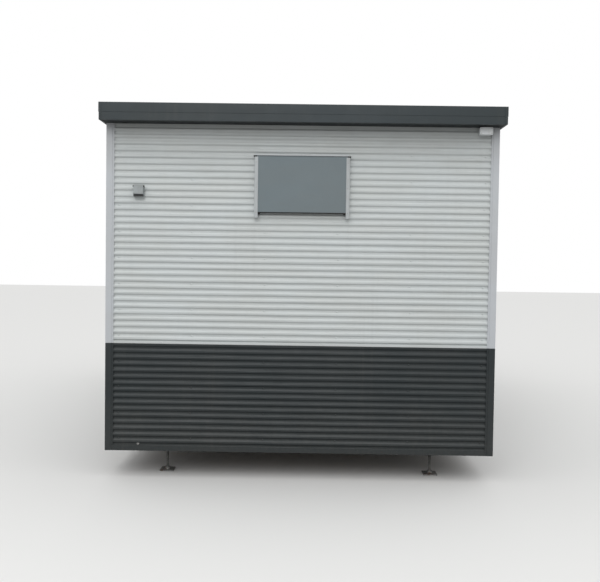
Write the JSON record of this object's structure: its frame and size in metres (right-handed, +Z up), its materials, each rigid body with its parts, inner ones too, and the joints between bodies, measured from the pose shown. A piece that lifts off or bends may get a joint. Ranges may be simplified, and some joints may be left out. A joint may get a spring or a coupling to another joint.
{
  "type": "portable site cabin",
  "caption": "Single-storey site cabin: two-tone ribbed steel walls over a steel chassis on screw feet, with a dark roof edge, shuttered windows, a side door and small electrical boxes.",
  "frame": {"origin": "middle of the cabin's plan, on the ground under the foot plates", "axes": "+X to the right as seen facing the pictured end wall, +Y from that end wall to the rear, +Z up"},
  "size_m": [3.089, 6.288, 2.858],
  "materials": {
    "white_steel": "white baked paint on ribbed steel sheet, slightly dusty",
    "dark_steel": "dark grey satin paint on ribbed steel sheet",
    "fascia_steel": "dark grey satin paint on folded roof edge sheet",
    "shutter_grey": "mid grey satin paint on flat folded sheet",
    "bare_aluminium": "mill finish extrusion",
    "roof_steel": "pale coated ribbed roof sheet, dusty",
    "lining_board": "plain pale lining",
    "wall_panel": "insulated panel with a pale inner lining",
    "deck_ply": "floor grade plywood",
    "chassis_steel": "black chassis paint with rust at the edges",
    "screw_steel": "zinc plated, dull, with light rust",
    "pane_glass": "clear float glass",
    "fitting_plastic": "pale grey weathered plastic",
    "black_rubber": "black extruded seal, dusty",
    "handle_metal": "satin steel"
  },
  "bodies": {
    "root": {"base_trims": "dark_steel", "ceiling_panel": "lining_board", "chassis_rails": "chassis_steel", "cross_members": "chassis_steel", "dado_trims": "white_steel", "door_drip_rail": "white_steel", "door_frame": "white_steel", "door_handle": "handle_metal", "door_hinges": "handle_metal", "door_leaf": "shutter_grey", "door_threshold": "bare_aluminium", "end_cappings": "fascia_steel", "end_fascias": "fascia_steel", "end_floor_beams": "chassis_steel", "floor_deck": "deck_ply", "floor_joists": "chassis_steel", "foot_plates": "screw_steel", "front_lower_cladding": "dark_steel", "front_upper_cladding": "white_steel", "front_wall": "wall_panel", "jack_nuts": "screw_steel", "jack_screws": "screw_steel", "junction_box": "fitting_plastic", "junction_lid": "fitting_plastic", "left_lower_cladding": "dark_steel", "left_upper_cladding": "white_steel", "left_wall": "wall_panel", "lower_corner_trims": "dark_steel", "outlet_cover": "fitting_plastic", "power_outlet": "fitting_plastic", "rear_lower_cladding": "dark_steel", "rear_upper_cladding": "white_steel", "rear_wall": "wall_panel", "right_lower_cladding": "dark_steel", "right_upper_cladding": "white_steel", "right_wall": "wall_panel", "roof_panel": "wall_panel", "roof_sheet": "roof_steel", "shutter_channels": "bare_aluminium", "shutter_heads": "bare_aluminium", "shutter_panels": "shutter_grey", "shutter_pivots": "black_rubber", "shutter_seals": "black_rubber", "shutter_stops": "black_rubber", "side_cappings": "fascia_steel", "side_fascias": "fascia_steel", "side_floor_beams": "chassis_steel", "soffit_panels": "fascia_steel", "upper_corner_trims": "white_steel", "window_frames": "bare_aluminium", "window_panes": "pane_glass"}
  },
  "joints": []
}
